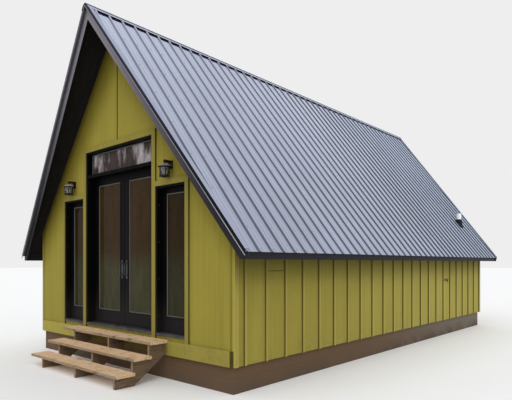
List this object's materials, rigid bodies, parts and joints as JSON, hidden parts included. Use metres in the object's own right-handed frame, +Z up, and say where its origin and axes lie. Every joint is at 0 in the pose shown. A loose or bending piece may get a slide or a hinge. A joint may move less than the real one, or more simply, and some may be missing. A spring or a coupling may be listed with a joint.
{
  "type": "a-frame cabin",
  "caption": "Small timber cabin with a steep ribbed metal gable roof, low board-and-batten side walls, glazed double doors under a transom, side lights and timber entry steps.",
  "frame": {"origin": "centre of the footprint at ground level", "axes": "+X to the right seen from the front, +Y from the entry gable to the rear gable, +Z up"},
  "size_m": [5.9398, 10.711, 5.495],
  "materials": {
    "foundation": "dark rough blockwork in shade",
    "floor_boards": "satin sealed floor boards",
    "framing_timber": "plain sawn softwood",
    "siding": "rough-sawn plywood siding with moss green stain",
    "siding_trim": "sawn boards with moss green stain",
    "interior_lining": "plain pine lining",
    "roof_deck": "sheathing stained black",
    "roof_metal": "satin charcoal baked coating on ribbed steel sheet",
    "dark_trim": "boards painted charcoal",
    "trim_metal": "satin charcoal folded steel trim",
    "door_black": "satin black paint",
    "sill_metal": "worn mill finish",
    "glazing": "clear insulating glass",
    "hardware": "matt black coating",
    "lantern_iron": "matt black cast alloy",
    "lantern_glass": "seeded frosted glass",
    "vent_plastic": "white pipe, a little weathered",
    "vent_rubber": "black rubber pipe boot",
    "step_timber": "weathered sawn planks"
  },
  "bodies": {
    "root": {"foundation_ends": "foundation", "foundation_sides": "foundation", "floor": "floor_boards", "floor_joists": "framing_timber", "rim_boards": "framing_timber", "front_wall_left": "siding", "front_wall_right": "siding", "front_wall_top": "siding", "front_wall_base": "siding", "rear_wall": "siding", "left_wall": "siding", "right_wall": "siding", "wall_battens": "siding_trim", "skirt_bands": "siding_trim", "front_trim": "siding_trim", "left_roof_frame": "interior_lining", "right_roof_frame": "interior_lining", "left_roof_deck": "roof_deck", "right_roof_deck": "roof_deck", "left_roof_sheet": "roof_metal", "right_roof_sheet": "roof_metal", "ridge_cap": "roof_metal", "front_rake_boards": "dark_trim", "rear_rake_boards": "dark_trim", "rake_flashings": "trim_metal", "eaves": "dark_trim", "door_frame": "door_black", "sills": "sill_metal", "transom_glass": "glazing", "side_lights": "door_black", "side_light_glass": "glazing", "lanterns": "lantern_iron", "lantern_glass": "lantern_glass", "vent_pipe": "vent_plastic", "vent_boot": "vent_rubber", "wall_tap": "hardware", "stair_treads": "step_timber", "stair_stringers": "step_timber"},
    "left_door": {"left_door_leaf": "door_black", "left_door_glass": "glazing", "left_door_hardware": "hardware"},
    "right_door": {"right_door_leaf": "door_black", "right_door_glass": "glazing", "right_door_hardware": "hardware"}
  },
  "joints": [
    {"name": "left_door_hinge", "type": "hinge", "parent": "root", "child": "left_door", "pos_m": [-0.887, -4.3275, 1.6], "axis": [0, 0, 1], "range_deg": [0, 95]},
    {"name": "right_door_hinge", "type": "hinge", "parent": "root", "child": "right_door", "pos_m": [0.887, -4.3275, 1.6], "axis": [0, 0, -1], "range_deg": [0, 95]}
  ]
}
